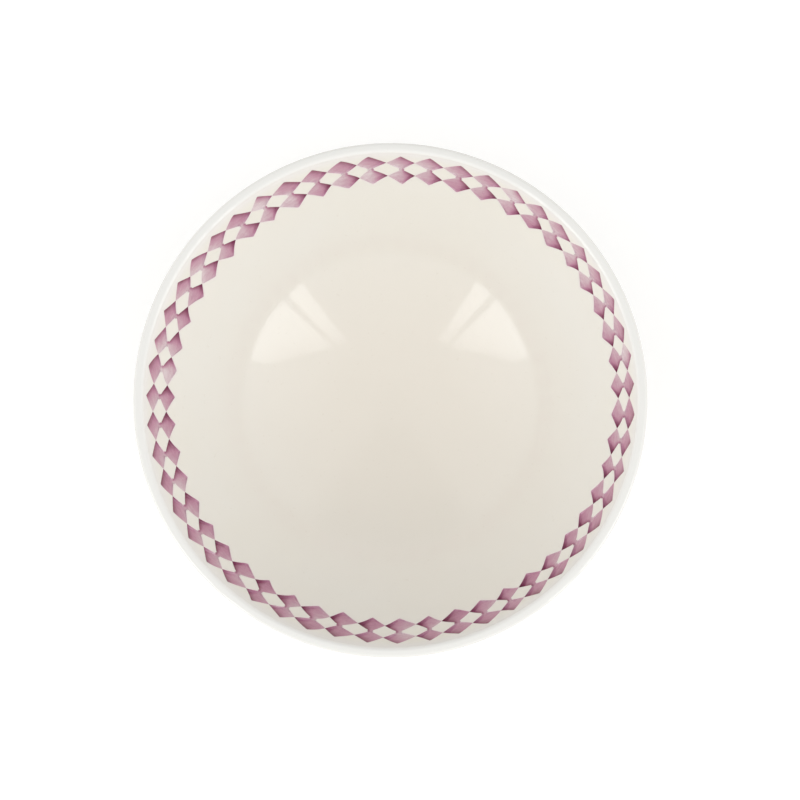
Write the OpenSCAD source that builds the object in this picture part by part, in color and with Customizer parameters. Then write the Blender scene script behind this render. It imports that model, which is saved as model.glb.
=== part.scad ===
// A round bowl of glazed pottery. A biscuit body stands on a foot ring and is coated with ivory
// glaze in three pours: inside, outside with the rim, and under the foot. Two rows of lozenges are
// cut into the inner wall just under the rim. Each cut slopes from the surface at one side corner
// down to a deep corner at the other, is filled with lilac glaze, and holds a dark pool of the
// same glaze at its deep end.
// Origin: centre of the foot, on the surface that the bowl stands on. +Z is up.

/* [Bowl] */
// Diameter over the rim
rim_d = 150; // [130:1:180]
// Thickness of the wall with its glaze
wall_t = 3.1; // [3:0.1:4]
// Slope of the wall at the rim, degrees from level
rim_slope = 75; // [74.8:0.1:78]

/* [Foot] */
// Outer diameter of the foot ring
foot_d = 64; // [52:1:76]
// Width of the foot ring
foot_w = 4; // [3:0.5:6]
// Height of the underside above the surface, at the centre
foot_lift = 5; // [4.5:0.5:7]
// Height of the bare clay at the bottom of the foot ring
bare_h = 1.6; // [1:0.1:2.5]
// Chamfer on the bottom edges of the foot ring
foot_chamfer = 0.8; // [0.4:0.1:1]

/* [Glaze] */
// Thickness of each coat of glaze
glaze_t = 0.35; // [0.3:0.05:0.45]

/* [Lozenges] */
// Number of lozenges in each row
lozenges = 51; // [40:1:60]
// Slope of the wall at the bottom tips of the lower row, degrees from level
lower_tip = 60.1; // [58:0.1:61]
// Slope of the wall where the two rows meet
row_joint = 67; // [66.5:0.1:67.5]
// Slope of the wall at the top tips of the upper row
upper_tip = 74.2; // [73.5:0.1:74.4]
// Depth of a cut at its deep corner
cut_depth = 0.95; // [0.6:0.05:1.1]
// Thickness of the lilac glaze in a cut
fill_t = 0.5; // [0.45:0.05:0.6]
// Width of clay left between the corners of neighbouring cuts
corner_gap = 0.24; // [0.2:0.02:0.4]
// Length of the dark pool, as a part of the lozenge's width
pool_part = 0.3; // [0.2:0.05:0.45]
// Height of the dark pool at the deep corner, as a part of the depth there
pool_rise = 0.55; // [0.3:0.05:0.7]
// Turn of the whole border from +X, in degrees
border_turn = 3.3; // [0:0.1:7]

/* [Hidden] */
$fn = 180;
lip_r = wall_t / 2;
mid_r = (rim_d / 2 - lip_r) / sin(rim_slope);
in_r = mid_r - lip_r;
out_r = mid_r + lip_r;
centre_z = foot_lift + out_r;
foot_r = foot_d / 2;
pitch = 360 / lozenges;
// Room that a cutting shape needs past the face that it cuts
over = 1;
// Reach of a lozenge's outline to either side of the wall's surface
deep = 4;
// Level that the foot's shapes reach up to before the underside cuts them off
foot_top = centre_z / 2;

// Solid ball about the centre that the inner and the outer wall share
module ball(r) {
    translate([0, 0, centre_z]) sphere(r);
}

// Everything below the cone that ends the wall under the rounded lip
module below_lip() {
    h = out_r + over;
    translate([0, 0, centre_z - h]) cylinder(h = h, r1 = h * tan(rim_slope), r2 = 0);
}

// Coat of the wall between two radii, from the bottom to the lip
module coat(r_small, r_large) {
    intersection() {
        difference() {
            ball(r_large);
            ball(r_small);
        }
        below_lip();
    }
}

// Ring of round section that the lip is made of
module lip(r) {
    translate([0, 0, centre_z - mid_r * cos(rim_slope)])
        rotate_extrude() translate([mid_r * sin(rim_slope), 0]) circle(r, $fn = 48);
}

// Upright tube round the axis
module sleeve(r_small, r_large, z_low, z_high) {
    translate([0, 0, z_low]) difference() {
        cylinder(h = z_high - z_low, r = r_large);
        translate([0, 0, -over]) cylinder(h = z_high - z_low + 2 * over, r = r_small);
    }
}

// Places children on the inner wall once for each lozenge of a row: X runs clockwise seen from
// above, Y up the wall and Z out of it, from the middle of the lozenge
module on_wall(slope) {
    for (i = [0 : lozenges - 1])
        translate([0, 0, centre_z]) rotate([0, 0, border_turn + i * pitch])
            rotate([0, -slope, 0]) rotate([0, 0, -90]) translate([0, 0, -in_r]) children();
}

// Upright rhombic column, the outline of one cut
module column(half_w, half_h) {
    translate([0, 0, -deep]) linear_extrude(2 * deep)
        polygon([[-half_w, 0], [0, -half_h], [half_w, 0], [0, half_h]]);
}

// Everything above a plane that falls along X: z_start at the shallow corner, z_end at the deep one
module above(half_w, z_start, z_end) {
    x = half_w + over;
    fall = (z_start - z_end) / (2 * half_w) * over;
    rotate([90, 0, 0]) translate([0, 0, -deep * 2]) linear_extrude(deep * 4)
        polygon([[-x, z_start + fall], [x, z_end - fall], [x, deep], [-x, deep]]);
}

// The cut, from the underside of its glaze upwards
module cut(half_w, half_h) {
    edge_z = in_r - sqrt(in_r * in_r - half_w * half_w);
    intersection() {
        column(half_w, half_h);
        above(half_w, edge_z - fill_t, edge_z - fill_t - cut_depth);
    }
}

// Lilac glaze on the floor of the cut
module fill(half_w, half_h) {
    edge_z = in_r - sqrt(in_r * in_r - half_w * half_w);
    difference() {
        cut(half_w, half_h);
        above(half_w, edge_z, edge_z - cut_depth);
    }
}

// Dark pool on that glaze, rising to the walls of the deep corner
module pool(half_w, half_h) {
    edge_z = in_r - sqrt(in_r * in_r - half_w * half_w);
    start_x = half_w * (1 - 2 * pool_part);
    floor_z = edge_z - cut_depth * (start_x + half_w) / (2 * half_w);
    deep_z = edge_z - cut_depth;
    top_z = deep_z + cut_depth * pool_rise;
    intersection() {
        column(half_w, half_h);
        rotate([90, 0, 0]) translate([0, 0, -deep * 2]) linear_extrude(deep * 4)
            polygon([[start_x, floor_z], [half_w, deep_z], [half_w, top_z]]);
    }
}

// Slope at the middle of a row and half the height and width of its lozenges
function row_slope(low, high) = (low + high) / 2;
function row_half_h(low, high) = in_r * (high - low) / 2 * PI / 180 - corner_gap / 2;
function row_half_w(low, high) =
    in_r * sin(row_slope(low, high)) * PI / lozenges - corner_gap / 2;

module upper_row_cuts() {
    on_wall(row_slope(row_joint, upper_tip))
        cut(row_half_w(row_joint, upper_tip), row_half_h(row_joint, upper_tip));
}

module lower_row_cuts() {
    on_wall(row_slope(lower_tip, row_joint))
        cut(row_half_w(lower_tip, row_joint), row_half_h(lower_tip, row_joint));
}

module body() {
    color("tan") difference() {
        union() {
            coat(in_r + glaze_t, out_r - glaze_t);
            lip(lip_r - glaze_t);
        }
        upper_row_cuts();
        lower_row_cuts();
    }
}

module foot_ring() {
    color("burlywood") difference() {
        rotate_extrude() polygon([
            [foot_r - foot_w, foot_chamfer], [foot_r - foot_w + foot_chamfer, 0],
            [foot_r - foot_chamfer, 0], [foot_r, foot_chamfer],
            [foot_r, foot_top], [foot_r - foot_w, foot_top]]);
        ball(out_r - glaze_t);
    }
}

module inner_glaze() {
    color("ivory") difference() {
        coat(in_r, in_r + glaze_t);
        upper_row_cuts();
        lower_row_cuts();
    }
}

module outer_glaze() {
    color("floralwhite") {
        difference() {
            coat(out_r - glaze_t, out_r);
            cylinder(h = foot_top, r = foot_r);
        }
        difference() {
            sleeve(foot_r, foot_r + glaze_t, bare_h, foot_top);
            ball(out_r - glaze_t / 2);
        }
        difference() {
            lip(lip_r);
            lip(lip_r - glaze_t);
            below_lip();
        }
    }
}

module foot_well_glaze() {
    well_r = foot_r - foot_w;
    color("floralwhite") {
        intersection() {
            coat(out_r - glaze_t, out_r);
            cylinder(h = foot_top, r = well_r);
        }
        difference() {
            sleeve(well_r - glaze_t, well_r, bare_h, foot_top);
            ball(out_r - glaze_t / 2);
        }
    }
}

module upper_lozenges() {
    color("thistle") on_wall(row_slope(row_joint, upper_tip))
        fill(row_half_w(row_joint, upper_tip), row_half_h(row_joint, upper_tip));
}

module lower_lozenges() {
    color("thistle") on_wall(row_slope(lower_tip, row_joint))
        fill(row_half_w(lower_tip, row_joint), row_half_h(lower_tip, row_joint));
}

module upper_pools() {
    color("mediumvioletred") on_wall(row_slope(row_joint, upper_tip))
        pool(row_half_w(row_joint, upper_tip), row_half_h(row_joint, upper_tip));
}

module lower_pools() {
    color("mediumvioletred") on_wall(row_slope(lower_tip, row_joint))
        pool(row_half_w(lower_tip, row_joint), row_half_h(lower_tip, row_joint));
}

body();
foot_ring();
inner_glaze();
outer_glaze();
foot_well_glaze();
upper_lozenges();
lower_lozenges();
upper_pools();
lower_pools();
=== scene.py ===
"""A glazed pottery bowl seen from straight above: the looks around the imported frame.

Points and lengths are in millimetres and angles in degrees until a mesh is made, unless a name or
a comment says otherwise. The border has two rows of lozenges, 0 the lower and 1 the upper one.
"""
import math

import bpy
import numpy as np
from mathutils import Matrix, Vector


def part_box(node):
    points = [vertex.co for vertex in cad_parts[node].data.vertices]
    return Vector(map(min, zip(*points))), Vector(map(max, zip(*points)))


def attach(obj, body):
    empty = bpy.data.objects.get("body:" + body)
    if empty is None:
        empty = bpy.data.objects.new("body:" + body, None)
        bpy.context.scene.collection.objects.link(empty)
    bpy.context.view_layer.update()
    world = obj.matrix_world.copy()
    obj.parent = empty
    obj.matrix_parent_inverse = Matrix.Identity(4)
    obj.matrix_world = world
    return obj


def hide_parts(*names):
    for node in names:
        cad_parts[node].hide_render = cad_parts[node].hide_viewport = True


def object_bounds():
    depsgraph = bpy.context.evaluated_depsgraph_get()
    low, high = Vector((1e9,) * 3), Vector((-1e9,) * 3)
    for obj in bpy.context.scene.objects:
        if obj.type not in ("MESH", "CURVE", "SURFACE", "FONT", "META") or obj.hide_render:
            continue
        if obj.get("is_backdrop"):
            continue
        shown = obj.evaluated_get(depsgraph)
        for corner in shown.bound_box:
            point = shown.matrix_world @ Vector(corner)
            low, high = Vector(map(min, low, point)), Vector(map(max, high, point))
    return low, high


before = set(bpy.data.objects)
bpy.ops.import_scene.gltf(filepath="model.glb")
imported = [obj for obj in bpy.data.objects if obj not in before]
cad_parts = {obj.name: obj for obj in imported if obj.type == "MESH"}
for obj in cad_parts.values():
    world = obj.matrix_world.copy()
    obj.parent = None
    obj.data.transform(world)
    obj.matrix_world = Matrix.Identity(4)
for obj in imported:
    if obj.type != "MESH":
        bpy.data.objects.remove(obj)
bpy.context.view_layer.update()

MM = 0.001
TAU = 2 * math.pi

# ---------------------------------------------------------------- driving sizes
WALL = 3.1
RIM_SLOPE = 75.0
GLAZE = 0.35
FOOT_WIDTH = 4.0
# Height of the bare clay at the bottom of the foot
BARE_FOOT = 1.6
LOZENGES = 51
# Turn of the whole border from +X
BORDER_TURN = 3.3
# Slope of the wall at the bottom tip, the side corners and the top tip of each row's lozenges
LOWER_ROW = (60.0, 63.35, 66.4)
UPPER_ROW = (66.4, 69.45, 73.3)
# How the hand-made border wanders: waves as times round, size and phase, first along the border
# with sizes in lozenges, then up the wall with sizes in degrees of slope
DRIFT_ROUND = ((1, 0.082, 39), (2, 0.092, 99))
DRIFT_UP = ((1, 0.36, -87), (2, 0.445, -49), (3, 0.21, 170))
# Radii of the lip's inner and outer round, and how far the band between them falls outwards
LIP_SOFT = 1.2
LIP_OUTER = 1.0
LIP_FALL = 5.0

rim_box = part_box("outer_glaze")
# The CAD rim has flat sides, and is a little narrower along Y than along X
rim_r = rim_box[1].y / MM
foot_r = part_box("foot_ring")[1].x / MM
well_r = foot_r - FOOT_WIDTH
lip_r = WALL / 2
mid_r = (rim_r - lip_r) / math.sin(math.radians(RIM_SLOPE))
in_r = mid_r - lip_r
out_r = mid_r + lip_r
centre_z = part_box("inner_glaze")[0].z / MM + in_r + GLAZE
lip_x = mid_r * math.sin(math.radians(RIM_SLOPE))
lip_z = centre_z - mid_r * math.cos(math.radians(RIM_SLOPE))
rng = np.random.default_rng(51)


# ---------------------------------------------------------------- small helpers
def smooth(x, low, high):
    """0 below low, 1 above high, and a smooth step between."""
    t = np.clip((x - low) / (high - low), 0, 1)
    return t * t * (3 - 2 * t)


def ring_noise(reach, first, last):
    """A smooth random function of the place round the bowl in lozenges, closing on itself.

    It is a sum of waves that go first to last times round, and reach is its root mean square.
    """
    k = np.arange(first, last + 1)
    phase = rng.uniform(0, TAU, len(k))
    size = rng.normal(0, 1, len(k))
    size *= reach / math.sqrt((size**2).sum() / 2)

    def value(p):
        turns = TAU * p[..., None] / LOZENGES * k + phase
        return (size * np.sin(turns)).sum(-1)

    return value


def drift(p, waves):
    """The border's slow wandering at p lozenges round."""
    turn = TAU * p / LOZENGES
    return sum(size * np.cos(times * turn + math.radians(phase)) for times, size, phase in waves)


# What differs from lozenge to lozenge
jitter_round = ring_noise(0.032, 4, 44)
jitter_up = ring_noise(0.20, 4, 40)
tone_of = rng.normal(0, 1, (2, LOZENGES))
depth_of = 1 + 0.08 * rng.normal(0, 1, (2, LOZENGES))

# The wall follows the border's wandering from the first slope on, in full from the second
FOLLOW_FROM = (45, 60)


def place(p, slope, depth, lean=0.0):
    """The point at p lozenges round and at that slope of the inner wall, sunk by depth.

    lean moves it that many lozenges clockwise, seen from above.
    """
    held = smooth(slope, *FOLLOW_FROM) * (1 - smooth(slope, UPPER_ROW[2], RIM_SLOPE))
    along = p - lean + held * (jitter_round(p) + drift(p, DRIFT_ROUND))
    turn = np.radians(BORDER_TURN + 360 / LOZENGES * along)
    tilt = np.radians(slope + held * (jitter_up(p) + drift(p, DRIFT_UP)))
    r = in_r + depth
    return np.stack([
        r * np.sin(tilt) * np.cos(turn),
        r * np.sin(tilt) * np.sin(turn),
        centre_z - r * np.cos(tilt)], -1)


def strip(low, high):
    """Faces between two closed rings of as many points, given as point numbers."""
    return np.stack([low, high, np.roll(high, -1), np.roll(low, -1)], -1)


# ---------------------------------------------------------------- one lozenge
CUT_DEPTH = 0.85
# Part of that depth at the shallow corner
SHALLOW = 0.04
# Length over which the cut's floor bends up to its edges
WALL_RUN = 0.30
# How far a side corner reaches past the middle between two lozenges, in lozenges
CORNER_JOIN = 0.012
# Clockwise lean of the tips, and how blunt they are, in lozenges
TIP_LEAN = 0.022
TIP_ROUND = 0.035
# Radius of the neck between the rows, and its shift against the lean of the tips, in lozenges.
# Over what length it is blended into the straight edges, and how much wider that makes it
NECK_R = 0.90
NECK_LEAN = 0.008
NECK_BLEND = 0.9
NECK_SWELL = 0.225
# How much thicker the coloured glaze is made towards -Y, as painted shade where the wall faces away
# from the light, and how much it differs by lozenge
PAINTED_SHADE_SIDE = 0.06
TONE_SPREAD = 0.04
# Length over which the coloured glaze thins at its edges, and the part that is left there
THIN_RUN = 0.35
THIN_LEFT = 0.75
# Length over which its colour bleeds into the ivory glaze
BLEED_RUN = 0.35


def lozenge_fields(p, q, row, slope):
    """Depth of the cut, thickness of its glaze with painted shade added, from 0 to 1, length inside
    its edge, and bleed.

    p runs round the border in lozenges, q from -0.5 at a row's bottom tips to 0.5 at its top tips.
    """
    nearest = np.round(p)
    across = nearest - p
    cell = nearest.astype(int) % LOZENGES
    half = 0.5 + CORNER_JOIN
    low, _, high = (LOWER_ROW, UPPER_ROW)[row]
    wide = TAU * in_r * np.sin(np.radians(slope)) / LOZENGES
    tall = math.radians(high - low) * in_r
    # Length inside the straight edges, and inside the round neck between the rows
    to_mm = 1 / np.sqrt(1 / wide**2 + 1 / tall**2)
    joint_q = (0.5, -0.5)[row]
    blunt = TIP_ROUND * smooth(-np.sign(joint_q) * q, 0.1, 0.45)
    inside = (half - np.hypot(across, blunt) - np.abs(q)) * to_mm
    neck = NECK_R - np.hypot((across + NECK_LEAN) * wide, (q - joint_q) * tall)
    blend = np.clip(0.5 + (neck - inside) / NECK_BLEND, 0, 1)
    inside = inside * (1 - blend) + neck * blend + NECK_SWELL * blend * (1 - blend)
    # The floor falls from the shallow corner to the deep one, which lies clockwise from above.
    # u runs from -1 to 1 between these corners, v between the tips
    u = across / half
    v = q / half
    depth = CUT_DEPTH * depth_of[row][cell] * (SHALLOW + (1 - SHALLOW) * np.clip((u + 1) / 2, 0, 1))
    depth = depth * smooth(inside, 0, WALL_RUN)
    # The coloured glaze flowed to the deep corner, and along the upper edge that leads there. Its
    # darkness there is also painted shade: the shadow under the cut's upper edge and in its deep
    # corner
    upper_edge = np.maximum(0, half - across - q) * to_mm
    lower_edge = np.maximum(0, half - across + q) * to_mm
    # Painted shade: the coloured glaze is darker on the side of the bowl towards -Y
    towards_front = -np.sin(np.radians(BORDER_TURN) + TAU * cell / LOZENGES)
    thick_and_shade = TONE_SPREAD * tone_of[row][cell] + PAINTED_SHADE_SIDE * towards_front
    if row == 1:
        thick_and_shade += 0.215 + 0.12 * u + 0.10 * v
        ran_and_shadow = 0.58 * np.exp(-(upper_edge / 1.4) ** 1.6) * smooth(u, -0.70, 0.0)
        thick_and_shade += ran_and_shadow * (1 - 0.35 * smooth(u, 0.3, 0.9))
    else:
        thick_and_shade += 0.185 + 0.07 * u - 0.06 * v
        ran_and_shadow = 0.70 * np.exp(-(upper_edge / 1.3) ** 1.5) * smooth(u, -0.08, 0.30)
        thick_and_shade += ran_and_shadow * (1 - 0.7 * blend) * (1 - 0.2 * smooth(u, 0.4, 0.9))
        # Painted shade along the lower edge near the deep corner as well
        thick_and_shade += 0.20 * np.exp(-(lower_edge / 1.1) ** 1.4) * smooth(u, -0.1, 0.6)
        thick_and_shade += 0.06 * smooth(u, 0.1, 0.7)
    thick_and_shade *= THIN_LEFT + (1 - THIN_LEFT) * smooth(inside, 0, THIN_RUN)
    bleed = np.exp(-np.maximum(0, -inside) / BLEED_RUN)
    return depth, np.clip(thick_and_shade, 0.02, 1.0), inside, bleed


def row_slope(q, row):
    """Slope of the wall at q, bent so that the side corners lie where the row has them."""
    low, corner, high = (LOWER_ROW, UPPER_ROW)[row]
    bend = corner - (low + high) / 2
    return low + (high - low) * (q + 0.5) + bend * (1 - 4 * q * q)


# ---------------------------------------------------------------- the inner wall as one surface
# Row number of the faces that lie in no lozenge
PLAIN = 2
# Slopes of the mesh lines below the border: even ones, then three near it, and of one above it
EVEN_LINES = np.linspace(1.2, LOWER_ROW[0] - 3.0, 46)
NEAR_LINES = LOWER_ROW[0] - np.array([1.6, 0.7, 0.1])
LINE_ABOVE = UPPER_ROW[2] + 1.1


def lattice(lines):
    """Places of the mesh lines across one lozenge, closest at its edges."""
    even = np.linspace(0, 1, lines + 1)[1:]
    half = 0.5 * (1 - (1 - even) ** 1.8)
    return np.concatenate([-half[-2::-1], [0.0], half])


def inner_surface(lines, sink=0.0):
    """The whole inner wall, from the bottom to the lip: points, blocks of faces with their row,
    the fields thick, inside and bleed, and the numbers of the points on the top ring.

    The mesh lines in the border run along the lozenges' edges, with this many lines on each side
    of a lozenge's middle. sink moves the wall that far into the clay. thick and inside have values
    only for the border's points, which come first.
    """
    step = lattice(lines)
    n = len(step)
    total = n * LOZENGES
    # Each point is where line s, rising one way, crosses line t, rising the other way
    column = np.arange(total)
    s = column // n + step[column % n]
    crossed = column[:, None] + np.arange(-n, n + 1)
    t = crossed // n + step[crossed % n]
    p = (s[:, None] + t) / 2
    q = (s[:, None] - t) / 2
    rows = []
    for row in (0, 1):
        slope = row_slope(q, row)
        depth, *fields = lozenge_fields(p, q, row, slope)
        points = place(p, slope, depth + sink, TIP_LEAN * 4 * q * q)
        rows.append((points.reshape(-1, 3), *(field.ravel() for field in fields)))
    xyz, thick_and_shade, inside, bleed = (np.concatenate(part) for part in zip(*rows))

    lower = np.arange(p.size).reshape(p.shape)
    # The upper row's bottom line of points is the lower row's top line, half a lozenge on
    upper = lower + p.size
    upper[:, -1] = np.roll(lower[:, 0], -n)
    blocks = []
    for row, number in ((0, lower), (1, upper)):
        on = np.roll(number, -1, axis=0)
        quads = np.stack([number[:, 1:-1], on[:, :-2], on[:, 1:-1], number[:, 2:]], -1)
        blocks.append((quads.reshape(-1, 4), row))
        blocks.append((np.stack([number[:, -1], on[:, -2], on[:, -1]], -1), row))
        blocks.append((np.stack([number[:, 0], on[:, 0], number[:, 1]], -1), row))

    # The plain wall starts from one point at the bottom
    bottom = len(xyz)
    below = np.concatenate([EVEN_LINES, NEAR_LINES])
    plain = [place(np.zeros(1), np.zeros(1), np.full(1, sink))]
    for side, slopes in ((0.5, below), (-0.5, (LINE_ABOVE, RIM_SLOPE))):
        for slope in slopes:
            plain.append(place(s + side, np.full(total, slope), sink, TIP_LEAN))
    xyz = np.concatenate([xyz] + plain)
    plain_bleed = [np.zeros(1 + len(EVEN_LINES) * total)]
    for slope in NEAR_LINES:
        away = math.radians(LOWER_ROW[0] - slope) * in_r
        plain_bleed.append(bleed[lower[:, -1]] * math.exp(-away / BLEED_RUN))
    bleed = np.concatenate([bleed, *plain_bleed, np.zeros(2 * total)])

    rings = list(np.arange(bottom + 1, len(xyz)).reshape(-1, total))
    low_rings = rings[:len(below)] + [lower[:, -1]]
    high_rings = [upper[:, 0]] + rings[len(below):]
    strips = []
    for lines_up in (low_rings, high_rings):
        strips += [strip(low, high) for low, high in zip(lines_up, lines_up[1:])]
    blocks.append((np.concatenate(strips), PLAIN))
    first = rings[0]
    blocks.append((np.stack([np.full(total, bottom), first, np.roll(first, -1)], -1), PLAIN))
    return xyz, blocks, thick_and_shade, inside, bleed, high_rings[-1]


def vertex_normals(xyz, blocks):
    """Normals of the shared points, each face weighted by its area."""
    out = np.zeros_like(xyz)
    for block, _ in blocks:
        a, b, c, d = (xyz[block[:, corner]] for corner in (0, 1, 2, -1))
        # With three corners, d is c
        normal = np.cross(c - a, d - b) if block.shape[1] == 4 else np.cross(b - a, c - a)
        for corner in range(block.shape[1]):
            np.add.at(out, block[:, corner], normal)
    size = np.linalg.norm(out, axis=1, keepdims=True)
    return out / np.maximum(size, 1e-12)


# ---------------------------------------------------------------- mesh pieces
def build(name, points, faces, loop_normals=None, fields=None):
    """A mesh object, with its own normals and point fields where given."""
    mesh = bpy.data.meshes.new(name)
    mesh.from_pydata((np.asarray(points) * MM).tolist(), [], [list(map(int, f)) for f in faces])
    mesh.update()
    mesh.shade_smooth()
    for field, values in (fields or {}).items():
        layer = mesh.attributes.new(field, "FLOAT", "POINT")
        layer.data.foreach_set("value", np.asarray(values, np.float32))
    if loop_normals is not None:
        mesh.normals_split_custom_set(loop_normals.tolist())
    piece = bpy.data.objects.new(name, mesh)
    bpy.context.collection.objects.link(piece)
    return piece


def open_edges(blocks):
    """The edges that only one face has, in the direction in which it has them."""
    edges = {}
    for block in blocks:
        corners = block.shape[1]
        for c in range(corners):
            for a, b in zip(block[:, c].tolist(), block[:, (c + 1) % corners].tolist()):
                if (b, a) in edges:
                    del edges[b, a]
                else:
                    edges[a, b] = True
    return list(edges)


def skin(name, xyz, normals, blocks, thickness, field, values):
    """A closed skin: these faces in front, the same ones thickness behind, and its edges."""
    used = np.unique(np.concatenate([block.ravel() for block in blocks]))
    local = np.full(len(xyz), -1)
    local[used] = np.arange(len(used))
    front = [local[block] for block in blocks]
    away = xyz[used] - np.array([0, 0, centre_z])
    away /= np.linalg.norm(away, axis=1, keepdims=True)
    points = np.concatenate([xyz[used], xyz[used] + away * thickness])
    count = len(used)
    faces = []
    loops = []
    for block in front:
        faces += block.tolist()
        loops.append(normals[used][block].reshape(-1, 3))
    for block in front:
        faces += (block[:, ::-1] + count).tolist()
        loops.append(away[block[:, ::-1]].reshape(-1, 3))
    side = np.array([(b, a, a + count, b + count) for a, b in open_edges(front)])
    a, b, c = (points[side[:, corner]] for corner in (0, 1, 2))
    across = np.cross(b - a, c - a)
    across /= np.maximum(np.linalg.norm(across, axis=1, keepdims=True), 1e-12)
    faces += side.tolist()
    loops.append(np.repeat(across, 4, axis=0))
    fields = {field: np.concatenate([values[used], values[used]])}
    return build(name, points, faces, np.concatenate(loops), fields)


# Edges that bend more than this are sharp in a turned piece
SHARP = 50


def lathe(name, outline, columns, uneven=None):
    """A closed surface of revolution round Z from a closed outline of (radius, height) points.

    uneven(outline, turn) gives what is added to the radius at each point.
    """
    outline = np.array(outline)
    turn = np.arange(columns) * TAU / columns
    r = np.repeat(outline[:, :1], columns, 1)
    z = np.repeat(outline[:, 1:], columns, 1)
    if uneven is not None:
        r = r + uneven(outline, turn)
    points = np.stack([r * np.cos(turn), r * np.sin(turn), z], -1).reshape(-1, 3)
    here = np.arange(r.size).reshape(r.shape)
    after = np.roll(here, -1, axis=1)
    faces = np.stack([here, after, np.roll(after, -1, axis=0), np.roll(here, -1, axis=0)], -1)
    piece = build(name, points, faces.reshape(-1, 4))
    piece.data.set_sharp_from_angle(angle=math.radians(SHARP))
    return piece


def arc(cx, cz, r, start, stop, count):
    """Points on a round stretch of an outline, angles from +X."""
    angles = np.radians(np.linspace(start, stop, count))
    return [(cx + r * math.cos(a), cz + r * math.sin(a)) for a in angles]


def wall_points(r, slopes):
    """Points of an outline on the ball of radius r about the wall's centre."""
    tilts = np.radians(slopes)
    return [(r * math.sin(tilt), centre_z - r * math.cos(tilt)) for tilt in tilts]


def ball_z(r, x):
    """Height of the lower half of that ball at the distance x from the axis."""
    return centre_z - math.sqrt(r * r - x * x)


# ---------------------------------------------------------------- materials
class Nodes:
    """Short names for making one material's nodes."""

    def __init__(self, name):
        self.material = bpy.data.materials.new(name)
        self.material.use_nodes = True
        self.tree = self.material.node_tree
        self.shader = self.tree.nodes["Principled BSDF"]
        self.place = self.add("ShaderNodeTexCoord").outputs["Object"]

    def add(self, kind, **settings):
        node = self.tree.nodes.new(kind)
        for key, value in settings.items():
            setattr(node, key, value)
        return node

    def feed(self, socket, value):
        """Links the socket to another node's output, or sets it to a number or a colour."""
        if isinstance(value, bpy.types.NodeSocket):
            self.tree.links.new(value, socket)
        elif isinstance(value, tuple):
            socket.default_value = (*value, 1)
        else:
            socket.default_value = value

    def axes(self):
        split = self.add("ShaderNodeSeparateXYZ")
        self.feed(split.inputs["Vector"], self.place)
        return split.outputs

    def noise(self, scale, detail, roughness, stretch=None):
        node = self.add("ShaderNodeTexNoise")
        node.inputs["Scale"].default_value = scale
        node.inputs["Detail"].default_value = detail
        node.inputs["Roughness"].default_value = roughness
        where = self.place
        if stretch:
            warp = self.add("ShaderNodeMapping")
            warp.inputs["Scale"].default_value = stretch
            self.feed(warp.inputs["Vector"], where)
            where = warp.outputs["Vector"]
        self.feed(node.inputs["Vector"], where)
        return node.outputs["Fac"]

    def span(self, value, low, high, to_low, to_high):
        node = self.add("ShaderNodeMapRange")
        names = ("Value", "From Min", "From Max", "To Min", "To Max")
        for name, setting in zip(names, (value, low, high, to_low, to_high)):
            self.feed(node.inputs[name], setting)
        return node.outputs["Result"]

    def mix(self, share, a, b):
        node = self.add("ShaderNodeMix", data_type="RGBA")
        for name, value in (("Factor", share), ("A", a), ("B", b)):
            self.feed(node.inputs[name], value)
        return node.outputs["Result"]

    def ramp(self, value, stops):
        node = self.add("ShaderNodeValToRGB")
        elements = node.color_ramp.elements
        while len(elements) < len(stops):
            elements.new(0.5)
        for element, (at, colour) in zip(elements, stops):
            element.position = at
            element.color = (*colour, 1)
        self.feed(node.inputs["Fac"], value)
        return node.outputs["Color"]

    def field(self, name):
        return self.add("ShaderNodeAttribute", attribute_name=name).outputs["Fac"]

    def maths(self, operation, a, b):
        node = self.add("ShaderNodeMath", operation=operation)
        for socket, value in zip(node.inputs, (a, b)):
            self.feed(socket, value)
        return node.outputs["Value"]

    def bump(self, height, strength, distance):
        node = self.add("ShaderNodeBump")
        node.inputs["Strength"].default_value = strength
        node.inputs["Distance"].default_value = distance
        self.feed(node.inputs["Height"], height)
        return node.outputs["Normal"]

    def finish(self, colour, roughness, normal, ior):
        self.feed(self.shader.inputs["Base Color"], colour)
        self.feed(self.shader.inputs["Roughness"], roughness)
        if normal is not None:
            self.feed(self.shader.inputs["Normal"], normal)
        self.shader.inputs["IOR"].default_value = ior
        return self.material


IVORY = (0.900, 0.882, 0.818)
IVORY_WARM = (0.896, 0.873, 0.796)
# Its tones in the bottom of the bowl, and a painted light that whitens the wall just under the lip
IVORY_DEEP = (0.900, 0.858, 0.768)
IVORY_HIGH_PAINTED_LIGHT = (0.910, 0.898, 0.872)
# Painted light: the lip is whiter where it faces up to the light
LIP_PAINTED_LIGHT = (0.850, 0.843, 0.808)
# Painted shade: the outside is darker than the inside, though it is the same glaze
IVORY_OUTSIDE_SHADED = (0.770, 0.748, 0.690)
IVORY_OUTSIDE_WARM_SHADED = (0.758, 0.732, 0.668)
SPECK = (0.62, 0.54, 0.42)
# What the coloured glaze bleeds into the ivory
BLUSH = (0.84, 0.74, 0.76)
# Heights and radii, in metres, between which one tone turns into the next
DEEP_HEIGHTS = (0.010, 0.036)
HIGH_HEIGHTS = (0.0580, 0.0624)
TOP_HEIGHTS = (0.0600, 0.0625)
LIP_RADII = (0.0717, 0.0729)
EDGE_RADII = (0.0745, 0.0757)


def inside_tones(n, colour):
    """Deeper in the bottom of the bowl, and, as painted light, nearly as white as the lip just
    under it.
    """
    height = n.axes()["Z"]
    colour = n.mix(n.span(height, *DEEP_HEIGHTS, 1, 0), colour, IVORY_DEEP)
    return n.mix(n.span(height, *HIGH_HEIGHTS, 0, 1), colour, IVORY_HIGH_PAINTED_LIGHT)


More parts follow.
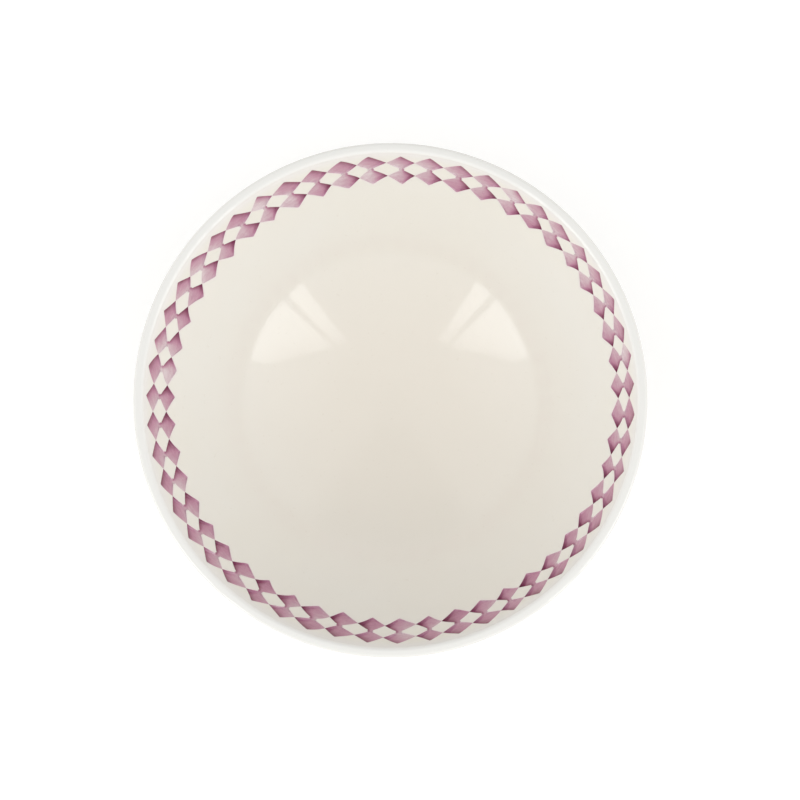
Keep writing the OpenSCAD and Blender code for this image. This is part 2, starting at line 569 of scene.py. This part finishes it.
def outside_tones(n, colour):
    """Painted light whitening the lip, and a darker ivory, painted shade, down the outside."""
    x, y, z = n.axes()
    radius = n.maths("ADD", n.maths("POWER", x, 2), n.maths("POWER", y, 2))
    radius = n.maths("SQRT", radius, 0)
    on_top = n.span(radius, *EDGE_RADII, 1, 0)
    on_top = n.maths("MULTIPLY", on_top, n.span(z, *TOP_HEIGHTS, 0, 1))
    lip = n.mix(n.span(radius, *LIP_RADII, 0, 1), IVORY_HIGH_PAINTED_LIGHT, LIP_PAINTED_LIGHT)
    return n.mix(on_top, colour, lip)


def ivory_glaze(name, light, warm, tones, bleeds):
    """Thick shiny ivory glaze: faint clouds of a warmer tone and a slightly uneven surface."""
    n = Nodes(name)
    clouds = n.span(n.noise(22, 3, 0.55), 0.35, 0.65, 0, 1)
    colour = tones(n, n.mix(clouds, light, warm))
    specks = n.span(n.noise(900, 1, 0.5), 0.70, 0.78, 0, 0.10)
    colour = n.mix(specks, colour, SPECK)
    if bleeds:
        colour = n.mix(n.span(n.field("bleed"), 0, 1, 0, 0.55), colour, BLUSH)
    roughness = n.span(n.noise(60, 2, 0.5), 0.3, 0.7, 0.05, 0.085)
    waves = n.maths("ADD", n.noise(45, 1, 0.4), n.maths("MULTIPLY", n.noise(260, 1, 0.5), 0.06))
    return n.finish(colour, roughness, n.bump(waves, 0.10, 0.0012), ior=1.5)


# Colour of the lilac glaze over its thickness, into which painted shade is added
LILAC_STOPS = [
    (0.00, (0.76, 0.64, 0.67)),
    (0.10, (0.64, 0.445, 0.51)),
    (0.18, (0.575, 0.325, 0.42)),
    (0.27, (0.52, 0.235, 0.345)),
    (0.40, (0.40, 0.15, 0.245)),
    (0.62, (0.26, 0.055, 0.12)),
    (1.00, (0.115, 0.012, 0.035)),
]


def lilac_glaze(name, dull):
    """Coloured glaze, paler where it lies thin, and darker where it flowed together and where
    painted shade is added.
    """
    n = Nodes(name)
    streaks = n.span(n.noise(420, 3, 0.6, (1, 1, 2.2)), 0.25, 0.75, -0.055, 0.055)
    grains = n.span(n.noise(2600, 1, 0.5), 0.3, 0.7, -0.02, 0.02)
    thick_and_shade = n.maths("ADD", n.maths("ADD", n.field("thick_and_shade"), streaks), grains)
    colour = n.ramp(thick_and_shade, LILAC_STOPS)
    roughness = n.span(n.noise(120, 2, 0.5), 0.3, 0.7, 0.07 + dull, 0.13 + dull)
    return n.finish(colour, roughness, n.bump(n.noise(300, 2, 0.5), 0.10, 0.0006), ior=1.48)


CLAY_DARK = (0.66, 0.53, 0.39)
CLAY_LIGHT = (0.72, 0.60, 0.46)
CLAY_GRAIN = (0.34, 0.22, 0.14)


def biscuit(name):
    """Bare fired clay: matt, a little sandy, with fine turning lines and a few dark grains."""
    n = Nodes(name)
    sand = n.noise(1400, 4, 0.6)
    rings = n.noise(700, 2, 0.5, (0.03, 0.03, 1))
    colour = n.mix(n.span(n.noise(60, 3, 0.5), 0.3, 0.7, 0, 1), CLAY_DARK, CLAY_LIGHT)
    colour = n.mix(n.span(sand, 0.66, 0.74, 0, 0.55), colour, CLAY_GRAIN)
    height = n.maths("ADD", sand, n.maths("MULTIPLY", rings, 0.8))
    return n.finish(colour, 0.82, n.bump(height, 0.35, 0.0003), ior=1.45)


# The inside's glaze carries painted light under the lip; the outside's carries the lip's painted
# light and the outside's painted shade
ivory_in = ivory_glaze("ivory_inside", IVORY, IVORY_WARM, inside_tones, bleeds=True)
ivory_out = ivory_glaze("ivory_outside", IVORY_OUTSIDE_SHADED, IVORY_OUTSIDE_WARM_SHADED, outside_tones,
                        bleeds=False)
lilac = lilac_glaze("lilac", 0.0)
plum = lilac_glaze("plum", 0.04)
clay = biscuit("bare_clay")


def finish_piece(piece, material, node):
    """Gives a piece its material, and puts it on the bowl in place of a CAD node."""
    piece.data.materials.append(material)
    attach(piece, "root")
    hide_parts(node)


# ---------------------------------------------------------------- inside of the bowl
# Value of the thickness field from which coloured glaze is a dark pool, partly painted shade, and
# thickness of its pieces
POOL_FROM = 0.50
COLOUR_SKIN = 0.3
# How far inside a lozenge's edge a face has to lie to be coloured
COLOUR_FROM = 0.02
INSIDE_LINES = 12

xyz, blocks, thick_and_shade, inside, bleed, _ = inner_surface(INSIDE_LINES)
normals = vertex_normals(xyz, blocks)
ivory_faces = []
colour_faces = {(row, deep): [] for row in (0, 1) for deep in (False, True)}
for block, row in blocks:
    if row == PLAIN:
        ivory_faces.append(block)
        continue
    coloured = inside[block].mean(1) > COLOUR_FROM
    pooled = thick_and_shade[block].mean(1) > POOL_FROM
    ivory_faces.append(block[~coloured])
    colour_faces[row, False].append(block[coloured & ~pooled])
    colour_faces[row, True].append(block[coloured & pooled])

inside_skin = skin("glaze_inside", xyz, normals, ivory_faces, GLAZE, "bleed", bleed)
finish_piece(inside_skin, ivory_in, "inner_glaze")
# The pools are the darkest coloured glaze: partly glaze that flowed there, partly painted shade in
# the cuts' deep corners and under their upper edges
for row, word in ((0, "lower"), (1, "upper")):
    for deep, stem, material, slot in ((False, "lozenges", lilac, "lilac_glaze"),
                                       (True, "pools", plum, "plum_glaze")):
        faces = [block for block in colour_faces[row, deep] if len(block)]
        piece = skin(f"{stem}_{word}", xyz, normals, faces, COLOUR_SKIN, "thick_and_shade", thick_and_shade)
        finish_piece(piece, material, f"{word}_{stem}")


# ---------------------------------------------------------------- outside, lip and foot
def lip_outline(inset):
    """The lip, from the inner wall over to the outer one, set inset back from the surface.

    Its inner round just reaches the height of the bowl's box, and its outer round the width.
    """
    up = Vector((math.cos(math.radians(RIM_SLOPE)), math.sin(math.radians(RIM_SLOPE))))
    out = Vector((up.y, -up.x))
    wall_end = out * -lip_r
    rise = (lip_r - LIP_SOFT - wall_end.y - out.y * LIP_SOFT) / up.y
    inner = wall_end + up * rise + out * LIP_SOFT
    outer = Vector((lip_r - LIP_OUTER, inner.y))
    fall = math.radians(LIP_FALL)
    outer.y += (math.sin(fall) * (inner.x - outer.x) + LIP_SOFT - LIP_OUTER) / math.cos(fall)
    points = [tuple(wall_end + out * inset + up * height) for height in (0, rise / 2)]
    points += arc(*inner, LIP_SOFT - inset, 90 + RIM_SLOPE, 90 - LIP_FALL, 14)
    points += arc(*outer, LIP_OUTER - inset, 90 - LIP_FALL, RIM_SLOPE - 90, 16)
    points.append(tuple(out * (lip_r - inset)))
    return [(lip_x + x, lip_z + z) for x, z in points]


# Radius of the hollow between wall and foot, and of the glaze's rounded end above the bare clay
FOOT_FILLET = 3.0
GLAZE_ROLL = 0.42
# How far the closed skin reaches behind its surface, at the wall and at the foot
WALL_BACK = 1.0
FOOT_BACK = 0.6


def outside_outline():
    """The outer glaze: over the lip, down the wall, round the fillet, down the foot, and back."""
    side = foot_r + GLAZE
    ball = out_r + FOOT_FILLET
    fillet_x = side + FOOT_FILLET
    fillet_z = ball_z(ball, fillet_x)
    touch = math.degrees(math.asin(fillet_x / ball))
    points = lip_outline(0)
    points += wall_points(out_r, np.linspace(RIM_SLOPE - 1.5, touch + 1, 48))
    points += arc(fillet_x, fillet_z, FOOT_FILLET, 90 + touch, 180, 14)
    points += [(side, z) for z in np.linspace(fillet_z - 0.8, BARE_FOOT + 2.2 * GLAZE_ROLL, 4)]
    points += arc(side - GLAZE_ROLL, BARE_FOOT + GLAZE_ROLL, GLAZE_ROLL, 0, -90, 7)
    back_x = foot_r - FOOT_BACK
    back_r = out_r - WALL_BACK
    points += [(back_x, BARE_FOOT + 0.35), (back_x, ball_z(back_r, back_x))]
    points += wall_points(back_r, np.linspace(touch, RIM_SLOPE - 1, 24))
    return points + lip_outline(GLAZE)[::-1]


throw_noise = ring_noise(1.0, 1, 7)


def throwing_marks(outline, turn):
    """Faint unevenness of a hand-finished wall, always inwards so that the size holds."""
    z = outline[:, 1:]
    fade = smooth(z, BARE_FOOT + 8, BARE_FOOT + 20) * (1 - smooth(z, lip_z - 14, lip_z - 4))
    rings = 0.05 * np.sin(z * 1.1) * np.sin(z * 0.37 + 1.2)
    lobes = 0.04 * throw_noise(turn / TAU * LOZENGES) * np.sin(z / 9)
    return fade * (rings + lobes - 0.09)


outside_skin = lathe("glaze_outside", outside_outline()[::-1], 512, throwing_marks)
finish_piece(outside_skin, ivory_out, "outer_glaze")

WELL_FILLET = 2.0
# Distance from the axis at which a turned outline starts, because it can't start on it
AXIS_GAP = 0.02


def well_outline():
    """The glaze under the bowl: a shallow dish that turns down the inner side of the foot."""
    fillet_x = well_r - WELL_FILLET
    edge_x = well_r + 0.3
    side = well_r - GLAZE
    flat = np.linspace(2, fillet_x - 1.4, 12)
    points = [(AXIS_GAP, centre_z - out_r)]
    points += [(x, ball_z(out_r, x)) for x in flat]
    points += arc(fillet_x, ball_z(out_r, fillet_x) - WELL_FILLET, WELL_FILLET, 82, 0, 10)
    points += [(side, BARE_FOOT + 1.2), (side, BARE_FOOT + 0.5)]
    points += [(side + 0.12, BARE_FOOT + 0.15), (well_r + 0.1, BARE_FOOT)]
    points += [(edge_x, BARE_FOOT + 0.3), (edge_x, ball_z(out_r - WALL_BACK, edge_x))]
    back = np.linspace(well_r - 2, AXIS_GAP, 12)
    return points + [(x, ball_z(out_r - WALL_BACK, x)) for x in back]


under_skin = lathe("glaze_under", well_outline(), 256)
finish_piece(under_skin, ivory_out, "foot_well_glaze")

FOOT_SOFT = 0.8


def foot_outline():
    """The bare foot: a rounded contact face and straight sides that run up into the body."""
    top = ball_z(out_r - GLAZE, foot_r - 1) - 0.4
    points = [(well_r, top), (well_r, FOOT_SOFT)]
    points += arc(well_r + FOOT_SOFT, FOOT_SOFT, FOOT_SOFT, 180, 270, 7)[1:]
    points += arc(foot_r - FOOT_SOFT, FOOT_SOFT, FOOT_SOFT, 270, 360, 7)
    return points + [(foot_r, BARE_FOOT + 1), (foot_r, top)]


def turning_marks(outline, turn):
    """Small waves of the bare foot, always into the clay."""
    wave = ring_noise(1.0, 1, 30)(turn / TAU * LOZENGES)
    low = 1 - smooth(outline[:, 1:], 0.1, 1.4)
    side = np.sign(outline[:, :1] - (foot_r - FOOT_WIDTH / 2))
    return -side * 0.03 * (1 + np.clip(wave, -1, 1)) * low


foot = lathe("foot", foot_outline(), 360, turning_marks)
finish_piece(foot, clay, "foot_ring")

# The clay's surface lies this far behind the glaze's, a little less than the glaze's thickness
CLAY_BEHIND = GLAZE - 0.03
CLAY_LINES = 6


def clay_wall():
    """The fired wall behind the glaze, with the cuts on its inner side and its rounded lip."""
    points, blocks, *_, edge = inner_surface(CLAY_LINES, CLAY_BEHIND)
    turn = np.arctan2(points[edge, 1], points[edge, 0])
    outline = lip_outline(CLAY_BEHIND)[1:]
    outline += wall_points(out_r - CLAY_BEHIND, np.linspace(RIM_SLOPE, 2, 40)[1:])
    rings = [np.stack([x * np.cos(turn), x * np.sin(turn), np.full(len(edge), z)], -1)
             for x, z in outline]
    numbers = np.arange(len(outline) * len(edge)).reshape(len(outline), -1) + len(points)
    numbers = [edge, *numbers]
    faces = [block for block, _ in blocks]
    faces += [strip(low, high) for low, high in zip(numbers, numbers[1:])]
    last = numbers[-1]
    under = len(points) + len(outline) * len(edge)
    faces.append(np.stack([last, np.full(len(edge), under), np.roll(last, -1)], -1))
    points = np.concatenate([points, *rings, [[0, 0, centre_z - out_r + CLAY_BEHIND]]])
    return build("clay_wall", points, [face for block in faces for face in block.tolist()])


finish_piece(clay_wall(), clay, "body")


# ---------------------------------------------------------------- floor
FLOOR_HALF = 6
FLOOR_COLOUR = (0.9, 0.9, 0.9)
FLOOR_GLOW = 0.2


def lay_floor():
    """A plain pale floor in metres, which gives a little light of its own."""
    corners = [(x * FLOOR_HALF, y * FLOOR_HALF, 0) for x, y in ((-1, -1), (1, -1), (1, 1), (-1, 1))]
    mesh = bpy.data.meshes.new("floor")
    mesh.from_pydata(corners, [], [(0, 1, 2, 3)])
    plane = bpy.data.objects.new("floor", mesh)
    bpy.context.collection.objects.link(plane)
    n = Nodes("floor_finish")
    tone = n.mix(n.noise(3, 2, 0.5), FLOOR_COLOUR, tuple(c * 0.99 for c in FLOOR_COLOUR))
    mesh.materials.append(n.finish(tone, 0.9, None, ior=1.5))
    n.shader.inputs["Emission Color"].default_value = (1, 1, 1, 1)
    n.shader.inputs["Emission Strength"].default_value = FLOOR_GLOW
    plane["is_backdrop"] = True


lay_floor()

# ---------------------------------------------------------------- light
# Strength of the even light; the parts of it that are missing towards +Y, and there near the
# horizon as well; the part that is missing overhead; and what the sides give more
WORLD = 1.03
WORLD_WEDGE = 0.39
WORLD_BACK = 0.27
WORLD_TOP = 0.20
WORLD_SIDES = 0.35


def studio_world():
    """Even light from all sides, dimmer from behind the top of the picture."""
    world = bpy.data.worlds.new("studio")
    bpy.context.scene.world = world
    world.use_nodes = True
    tree = world.node_tree

    def maths(operation, a, b):
        node = tree.nodes.new("ShaderNodeMath")
        node.operation = operation
        for socket, value in zip(node.inputs, (a, b)):
            if isinstance(value, bpy.types.NodeSocket):
                tree.links.new(value, socket)
            else:
                socket.default_value = value
        return node.outputs["Value"]

    def step(value, low, high, to_low, to_high):
        node = tree.nodes.new("ShaderNodeMapRange")
        node.interpolation_type = "SMOOTHSTEP"
        tree.links.new(value, node.inputs["Value"])
        for name, number in zip(("From Min", "From Max", "To Min", "To Max"),
                                (low, high, to_low, to_high)):
            node.inputs[name].default_value = number
        return node.outputs["Result"]

    direction = tree.nodes.new("ShaderNodeTexCoord").outputs["Generated"]
    split = tree.nodes.new("ShaderNodeSeparateXYZ")
    tree.links.new(direction, split.inputs["Vector"])
    x, y, _ = split.outputs
    # 0 straight overhead and 1 at the horizon
    level = maths("SQRT", maths("ADD", maths("MULTIPLY", x, x), maths("MULTIPLY", y, y)), 0)
    safe_level = maths("MAXIMUM", level, 0.001)
    towards_back = maths("DIVIDE", y, safe_level)
    sideways = maths("DIVIDE", maths("ABSOLUTE", x, 0), safe_level)

    wedge = maths("MULTIPLY", step(towards_back, 0.73, 0.93, 0, 1), step(level, 0.14, 0.24, 0, 1))
    deeper = step(level, 0.5, 0.95, WORLD_WEDGE, WORLD_WEDGE + WORLD_BACK)
    shade = maths("ADD", maths("MULTIPLY", wedge, deeper), step(level, 0.07, 0.19, WORLD_TOP, 0))
    glow = maths("MULTIPLY", step(sideways, 0.45, 0.85, 0, 1), step(level, 0.35, 0.75, 0, 1))
    glow = maths("MULTIPLY", glow, step(towards_back, -0.2, 0.5, 1, 0))
    light = maths("MULTIPLY", maths("SUBTRACT", 1.0, shade), WORLD)
    light = maths("ADD", light, maths("MULTIPLY", glow, WORLD_SIDES))
    background = tree.nodes["Background"]
    background.inputs["Color"].default_value = (1, 1, 1, 1)
    tree.links.new(light, background.inputs["Strength"])


studio_world()

# Metres that the other measures of the lamps are parts of, and the Y that all lamps stand at
LAMP_UNIT = 0.80
LAMP_ROW = -0.56
# X of the near and the far side, and top over the rim, of the narrow and the wide lamp
STRIP = (0.42, 0.54, 0.48)
PANEL = (0.60, 1.9, 0.58)
LAMP_POWER = 2.15
# Each lamp fades out upwards, to the strength of the even light, in this many bands
FADE_STEPS = 6
FADE_BAND = 0.085


def lamp(name, near, far, low, high, power):
    """An upright light in front of the bowl, between two X and two heights over the rim.

    It shows only as a reflection.
    """
    x_low, x_high = sorted((near * LAMP_UNIT, far * LAMP_UNIT))
    bottom = low * LAMP_UNIT
    top = high * LAMP_UNIT
    data = bpy.data.lights.new(name, "AREA")
    data.shape = "RECTANGLE"
    data.size = x_high - x_low
    data.size_y = top - bottom
    data.energy = power * data.size * data.size_y * math.pi
    light = bpy.data.objects.new(name, data)
    light.location = ((x_low + x_high) / 2, LAMP_ROW * LAMP_UNIT, rim_box[1].z + (bottom + top) / 2)
    light.rotation_euler = (math.radians(90), 0, 0)
    bpy.context.collection.objects.link(light)
    light.visible_camera = False
    light.visible_diffuse = False


for side, word in ((-1, "left"), (1, "right")):
    for name, (near, far, top) in (("strip", STRIP), ("panel", PANEL)):
        lamp(f"{name}_{word}", side * near, side * far, 0, top, LAMP_POWER)
        for band in range(FADE_STEPS):
            power = 1 + (LAMP_POWER - 1) * (1 - (band + 0.5) / FADE_STEPS)
            low = top + FADE_BAND * band
            lamp(f"{name}_fade", side * near, side * far, low, low + FADE_BAND, power)

# ---------------------------------------------------------------- camera
# Where the camera stands and the point at the rim's height that it looks at, in metres
CAMERA_XY = (0.062, -0.033)
AIM_XY = (0.00303, -0.00006)
CAMERA_AWAY = 1.1

camera_data = bpy.data.cameras.new("camera")
camera_data.lens = 170.2
camera_data.sensor_width = 36
camera_data.clip_end = 50
camera = bpy.data.objects.new("camera", camera_data)
bpy.context.collection.objects.link(camera)
bpy.context.scene.camera = camera
camera.location = (*CAMERA_XY, lip_z * MM + CAMERA_AWAY)
back = (camera.location - Vector((*AIM_XY, lip_z * MM))).normalized()
# +Y is up in the picture
right = Vector((0, 1, 0)).cross(back).normalized()
camera.rotation_euler = Matrix((right, back.cross(right), back)).transposed().to_euler()

bpy.context.scene.view_settings.view_transform = "Standard"

low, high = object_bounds()
